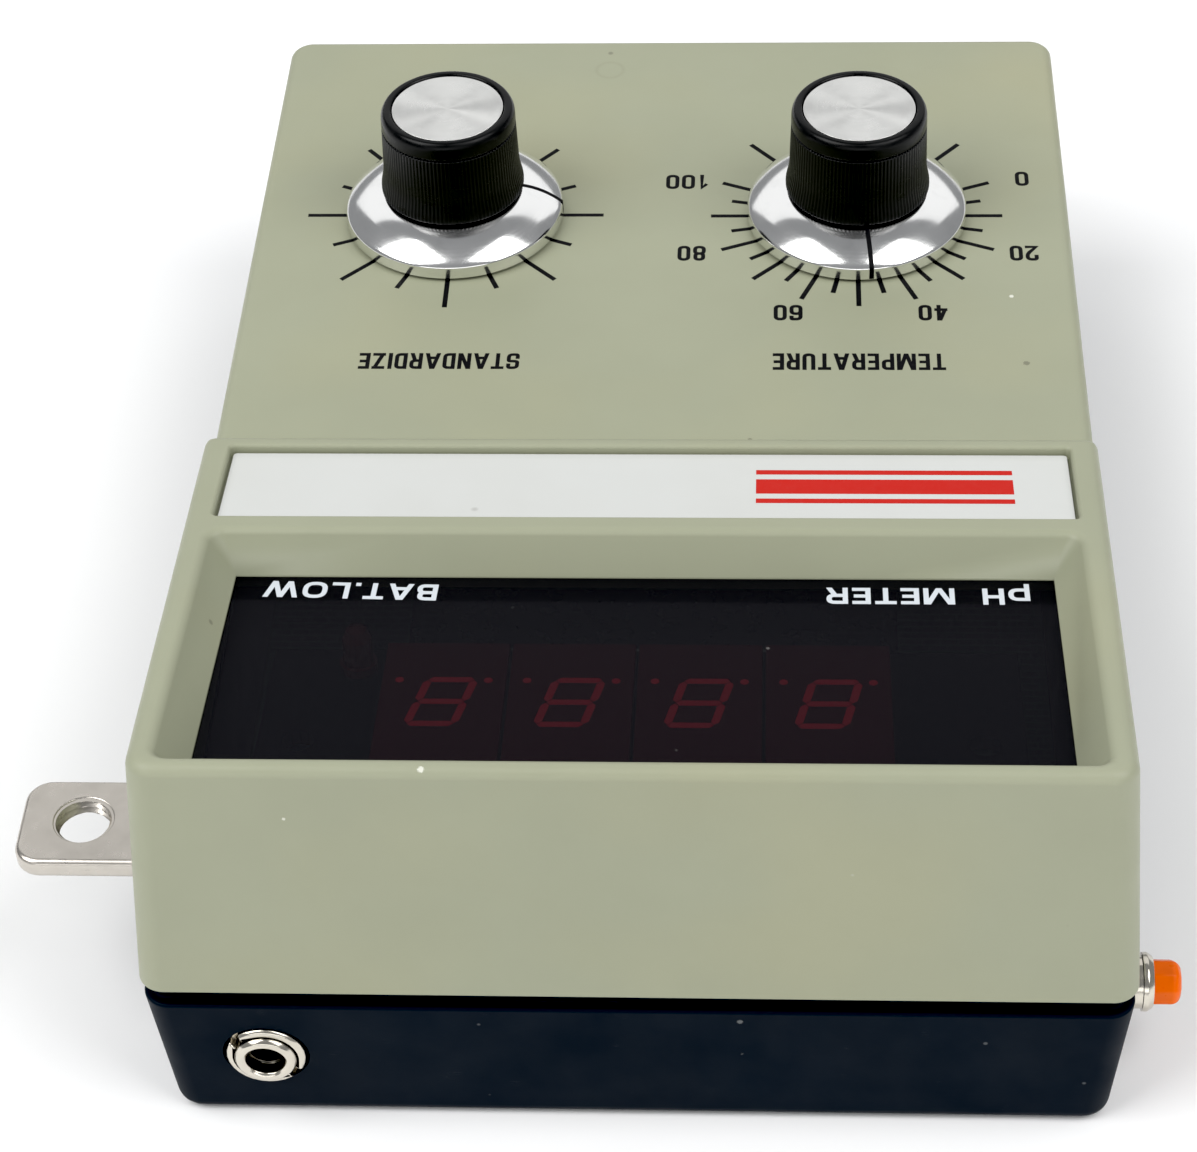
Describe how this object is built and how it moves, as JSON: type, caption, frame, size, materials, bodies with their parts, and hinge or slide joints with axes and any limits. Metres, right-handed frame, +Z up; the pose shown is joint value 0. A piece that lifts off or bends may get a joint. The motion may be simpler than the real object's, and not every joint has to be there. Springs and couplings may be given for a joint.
{
  "type": "portable ph meter",
  "caption": "Handheld digital pH meter: moulded case with a raised display end, skirted dial knobs, side read button, end jack, electrode socket and steel support tab.",
  "frame": {"origin": "middle of the flat underside of the base", "axes": "+Z up; +Y from the user's end to the raised display end; +X to the user's right, the side with the steel support tab"},
  "size_m": [0.1132, 0.1493, 0.0493],
  "materials": {
    "sage_case": "fine moulded satin, beige green",
    "navy_base": "moulded satin, very dark navy",
    "label_film": "printed satin white label",
    "red_filter": "polished dark red acrylic filter",
    "led_module": "dark red moulded display module",
    "black_plastic": "moulded black",
    "nickel": "bright nickel plate",
    "spun_aluminium": "spun and polished",
    "plated_steel": "dull nickel plated steel",
    "zinc_plate": "zinc plated",
    "brass": "machined",
    "circuit_board": "green solder mask",
    "orange_cap": "moulded orange",
    "clear_red": "red lamp lens",
    "cream_plastic": "natural nylon",
    "battery_wrap": "printed metal jacket",
    "trim_blue": "moulded blue",
    "wire_red": "wire insulation",
    "wire_grey": "wire insulation"
  },
  "bodies": {
    "case": {"upper_shell": "sage_case", "lower_shell": "navy_base", "label_strip": "label_film", "display_window": "red_filter", "display_board": "circuit_board", "low_battery_lamp": "clear_red", "case_screw_1": "zinc_plate", "digit_1": "led_module", "case_screw_2": "zinc_plate", "digit_2": "led_module", "case_screw_3": "zinc_plate", "digit_3": "led_module", "case_screw_4": "zinc_plate", "digit_4": "led_module", "standardize_pot_body": "nickel", "standardize_pot_bushing": "brass", "standardize_pot_washer": "zinc_plate", "standardize_pot_nut": "nickel", "temperature_pot_body": "nickel", "temperature_pot_bushing": "brass", "temperature_pot_washer": "zinc_plate", "temperature_pot_nut": "nickel", "read_button_bushing": "nickel", "read_button_nut": "nickel", "read_button_housing": "black_plastic", "read_button_spring": "plated_steel", "recorder_jack_bushing": "nickel", "recorder_jack_nut": "nickel", "recorder_jack_body": "black_plastic", "electrode_socket_barrel": "nickel", "electrode_socket_nut": "nickel", "electrode_socket_insulator": "cream_plastic", "electrode_socket_contact": "brass", "support_tab": "plated_steel", "support_tab_screw_1": "zinc_plate", "support_tab_screw_2": "zinc_plate", "battery": "battery_wrap", "battery_snap": "black_plastic", "battery_lead_red": "wire_red", "battery_lead_black": "black_plastic", "main_board": "circuit_board", "converter_chip": "black_plastic", "input_amplifier": "black_plastic", "slope_trimmer": "trim_blue", "filter_capacitor": "trim_blue", "display_ribbon": "wire_grey", "electrode_lead": "wire_grey"},
    "standardize_knob": {"standardize_shaft": "spun_aluminium", "standardize_knob_body": "black_plastic", "standardize_knob_skirt": "spun_aluminium", "standardize_knob_inlay": "spun_aluminium", "standardize_set_screw": "plated_steel"},
    "temperature_knob": {"temperature_shaft": "spun_aluminium", "temperature_knob_body": "black_plastic", "temperature_knob_skirt": "spun_aluminium", "temperature_knob_inlay": "spun_aluminium", "temperature_set_screw": "plated_steel"},
    "read_button": {"read_button_cap": "orange_cap", "read_button_plunger": "cream_plastic"},
    "battery_cover": {"battery_door": "navy_base"}
  },
  "joints": [
    {"name": "standardize_turn", "type": "hinge", "parent": "case", "child": "standardize_knob", "pos_m": [0.0233, -0.0323, 0.042], "axis": [0, 0, 1], "range_deg": [-229, 49]},
    {"name": "temperature_turn", "type": "hinge", "parent": "case", "child": "temperature_knob", "pos_m": [-0.022, -0.0321, 0.042], "axis": [0, 0, 1], "range_deg": [-145.75, 132.25]},
    {"name": "read_button_press", "type": "slide", "parent": "case", "child": "read_button", "axis": [1, 0, 0], "range_m": [0, 0.0015], "stiffness_N_per_m": 400, "springref_m": -0.002, "deforming": ["read_button_spring"]},
    {"name": "battery_door_slide", "type": "slide", "parent": "case", "child": "battery_cover", "axis": [0, -1, 0], "range_m": [0, 0.034]}
  ]
}
